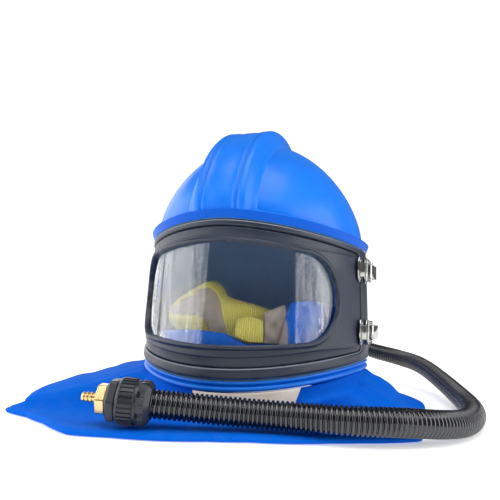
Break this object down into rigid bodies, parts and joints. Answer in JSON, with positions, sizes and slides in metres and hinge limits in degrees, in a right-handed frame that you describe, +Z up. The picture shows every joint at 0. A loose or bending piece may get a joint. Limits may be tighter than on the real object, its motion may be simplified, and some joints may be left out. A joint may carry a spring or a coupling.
{
  "type": "sandblasting hood",
  "caption": "Blasting helmet with a hinged curved window door, side draw latches, neck cloth, spread cape and corrugated breathing hose.",
  "frame": {"origin": "centre of the bounding box without the free hose, on the floor under the helmet's upright axis", "axes": "+Z up, -Y towards the window in front, +X towards the latches"},
  "size_m": [0.458, 0.5357, 0.33],
  "materials": {
    "shell_blue": "gloss moulded plastic",
    "frame_grey": "satin moulded plastic",
    "lens": "clear polycarbonate",
    "chrome": "bright plated steel",
    "cloth_blue": "coated nylon cloth",
    "cloth_beige": "cotton lining",
    "knit_yellow": "rib knit",
    "hose_black": "gloss corrugated plastic",
    "plastic_grey": "satin moulded plastic",
    "brass": "turned brass"
  },
  "bodies": {
    "helmet": {"helmet_shell": "shell_blue", "surround_frame": "frame_grey", "hinge_leaf_fixed": "chrome", "latch_base_upper": "chrome", "latch_base_lower": "chrome", "cape": "cloth_blue", "bib_lining": "cloth_beige", "inner_collar": "cloth_blue", "knit_collar": "knit_yellow", "hose_inlet": "plastic_grey", "breathing_hose": "hose_black", "hose_nut": "plastic_grey", "hose_gland": "plastic_grey", "hose_bushing": "brass", "hose_barb": "brass"},
    "door": {"window_frame": "frame_grey", "window_lens": "lens", "hinge_leaf_door": "chrome", "keeper_upper": "chrome", "keeper_lower": "chrome"},
    "lever_upper": {"latch_lever_upper": "chrome"},
    "bail_upper": {"latch_bail_upper": "chrome"},
    "lever_lower": {"latch_lever_lower": "chrome"},
    "bail_lower": {"latch_bail_lower": "chrome"}
  },
  "joints": [
    {"name": "door_hinge", "type": "hinge", "parent": "helmet", "child": "door", "pos_m": [-0.13512, -0.02437, 0.126], "axis": [0, 0, -1], "range_deg": [0, 105]},
    {"name": "lever_upper_pivot", "type": "hinge", "parent": "helmet", "child": "lever_upper", "pos_m": [0.13361, -0.01122, 0.16], "axis": [0, 0, -1], "range_deg": [0, 150]},
    {"name": "bail_upper_pivot", "type": "hinge", "parent": "lever_upper", "child": "bail_upper", "pos_m": [0.13304, -0.00274, 0.16], "axis": [0, 0, -1], "range_deg": [-150, 0]},
    {"name": "lever_lower_pivot", "type": "hinge", "parent": "helmet", "child": "lever_lower", "pos_m": [0.1359, -0.01145, 0.092], "axis": [0, 0, -1], "range_deg": [0, 150]},
    {"name": "bail_lower_pivot", "type": "hinge", "parent": "lever_lower", "child": "bail_lower", "pos_m": [0.13533, -0.00297, 0.092], "axis": [0, 0, -1], "range_deg": [-150, 0]}
  ],
  "couplings": [
    {"joint": "bail_upper_pivot", "follows": "lever_upper_pivot", "ratio": -1},
    {"joint": "bail_lower_pivot", "follows": "lever_lower_pivot", "ratio": -1}
  ]
}
